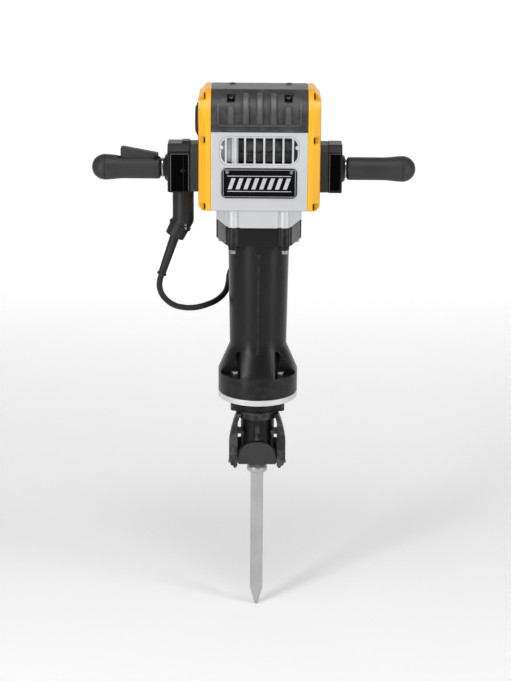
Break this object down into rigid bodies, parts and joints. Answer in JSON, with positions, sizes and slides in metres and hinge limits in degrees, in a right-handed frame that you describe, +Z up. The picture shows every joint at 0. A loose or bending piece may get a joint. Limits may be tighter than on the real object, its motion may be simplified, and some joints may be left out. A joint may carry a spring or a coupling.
{
  "type": "electric demolition hammer",
  "caption": "Electric demolition hammer with two side grips, a crank-driven striker, a hinged tool retainer, a hexagonal point chisel and a mains cord.",
  "frame": {"origin": "on the hammer axis at the height of the two grips", "axes": "+X from the switch grip to the plain grip, -Y to the front of the head, +Z up along the hammer axis"},
  "size_m": [0.6914, 0.22, 1.194],
  "materials": {
    "cast_silver": "satin cast",
    "dark_cover": "moulded",
    "yellow_cover": "moulded",
    "black_paint": "semi-gloss paint",
    "black_plastic": "gloss",
    "matte_black": "moulded",
    "rubber_black": "soft",
    "grey_plate": "satin",
    "steel": "machined",
    "bright_steel": "bright",
    "bronze": "turned",
    "copper": "wound",
    "carbon": "carbon",
    "cord_rubber": "sheath",
    "plate_black": "printed plate"
  },
  "bodies": {
    "housing": {"cast_case": "cast_silver", "top_cover": "dark_cover", "rear_cover": "dark_cover", "left_side_cover": "yellow_cover", "right_side_cover": "yellow_cover", "cover_screws": "steel", "motor_cap": "matte_black", "window_grille": "cast_silver", "name_plate": "plate_black", "name_plate_rivets": "bright_steel", "barrel": "black_paint", "collar_bolts": "bright_steel", "flange_bolts": "bright_steel", "bright_ring": "bright_steel", "air_cylinder": "steel", "cylinder_seals": "rubber_black", "anvil_guide": "steel", "tool_holder": "black_paint", "tool_bush": "bronze", "retainer_pins": "steel", "stator": "steel", "field_coils": "copper", "motor_bracket": "matte_black", "brush_holders": "bronze", "carbon_brushes": "carbon", "motor_bearings": "bright_steel", "gear_bearings": "bright_steel", "mounting_plates": "grey_plate", "handle_bolts": "steel", "switch_box": "matte_black", "switch_box_lid": "black_plastic", "plain_box": "matte_black", "pivot_pins": "steel", "switch": "matte_black", "cord_elbow": "matte_black", "strain_relief": "rubber_black", "cord_run": "cord_rubber", "cord_hank": "cord_rubber", "mains_plug": "matte_black"},
    "left_handle": {"left_grip_bar": "steel", "left_grip": "rubber_black", "trigger_pin": "steel"},
    "right_handle": {"right_grip_bar": "steel", "right_grip": "rubber_black"},
    "trigger": {"trigger": "matte_black"},
    "switch_rod": {"switch_rod": "steel"},
    "armature": {"armature_shaft": "steel", "armature_core": "steel", "commutator": "copper", "cooling_fan": "matte_black"},
    "countershaft": {"countershaft": "steel", "fast_wheel": "steel"},
    "crankshaft": {"crankshaft": "steel", "crank_gear": "steel"},
    "connecting_rod": {"connecting_rod": "steel"},
    "piston": {"piston": "steel"},
    "striker": {"striker": "steel"},
    "impact_bolt": {"impact_bolt": "steel"},
    "chisel": {"chisel": "bright_steel"},
    "retainer": {"retainer_flap": "black_paint"}
  },
  "joints": [
    {"name": "crank_spin", "type": "hinge", "parent": "housing", "child": "crankshaft", "pos_m": [0, 0, -0.005], "axis": [1, 0, 0], "continuous": true},
    {"name": "counter_spin", "type": "hinge", "parent": "housing", "child": "countershaft", "pos_m": [0, 0.01019, 0.06425], "axis": [1, 0, 0], "continuous": true},
    {"name": "motor_spin", "type": "hinge", "parent": "housing", "child": "armature", "pos_m": [0, 0, 0.105], "axis": [1, 0, 0], "continuous": true},
    {"name": "rod_swing", "type": "hinge", "parent": "crankshaft", "child": "connecting_rod", "pos_m": [0, 0, 0.013], "axis": [1, 0, 0], "continuous": true},
    {"name": "piston_slide", "type": "slide", "parent": "housing", "child": "piston", "axis": [0, 0, 1], "range_m": [-0.036, 0]},
    {"name": "striker_slide", "type": "slide", "parent": "housing", "child": "striker", "axis": [0, 0, 1], "range_m": [-0.05, 0.012]},
    {"name": "impact_bolt_slide", "type": "slide", "parent": "housing", "child": "impact_bolt", "axis": [0, 0, 1], "range_m": [-0.008, 0.004]},
    {"name": "chisel_slide", "type": "slide", "parent": "housing", "child": "chisel", "axis": [0, 0, 1], "range_m": [-0.022, 0.006]},
    {"name": "retainer_open", "type": "hinge", "parent": "housing", "child": "retainer", "pos_m": [0, -0.034, -0.656], "axis": [1, 0, 0], "range_deg": [0, 70], "stiffness_Nm_per_rad": 0.8, "springref_deg": -22.92},
    {"name": "left_grip_flex", "type": "hinge", "parent": "housing", "child": "left_handle", "pos_m": [-0.1622, 0, 0], "axis": [0, 1, 0], "range_deg": [-2, 2], "stiffness_Nm_per_rad": 1500},
    {"name": "right_grip_flex", "type": "hinge", "parent": "housing", "child": "right_handle", "pos_m": [0.1622, 0, 0], "axis": [0, 1, 0], "range_deg": [-2, 2], "stiffness_Nm_per_rad": 1500},
    {"name": "trigger_pull", "type": "hinge", "parent": "left_handle", "child": "trigger", "pos_m": [-0.2207, 0, 0.021], "axis": [0, -1, 0], "range_deg": [0, 7], "stiffness_Nm_per_rad": 2, "springref_deg": -11.46},
    {"name": "switch_rod_slide", "type": "slide", "parent": "left_handle", "child": "switch_rod", "axis": [1, 0, 0], "range_m": [0, 0.0015]}
  ],
  "couplings": [
    {"joint": "counter_spin", "follows": "crank_spin", "ratio": -3},
    {"joint": "motor_spin", "follows": "crank_spin", "ratio": 11},
    {"joint": "rod_swing", "follows": "crank_spin", "ratio": -1},
    {"joint": "switch_rod_slide", "follows": "trigger_pull", "m_per_rad": 0.008}
  ]
}
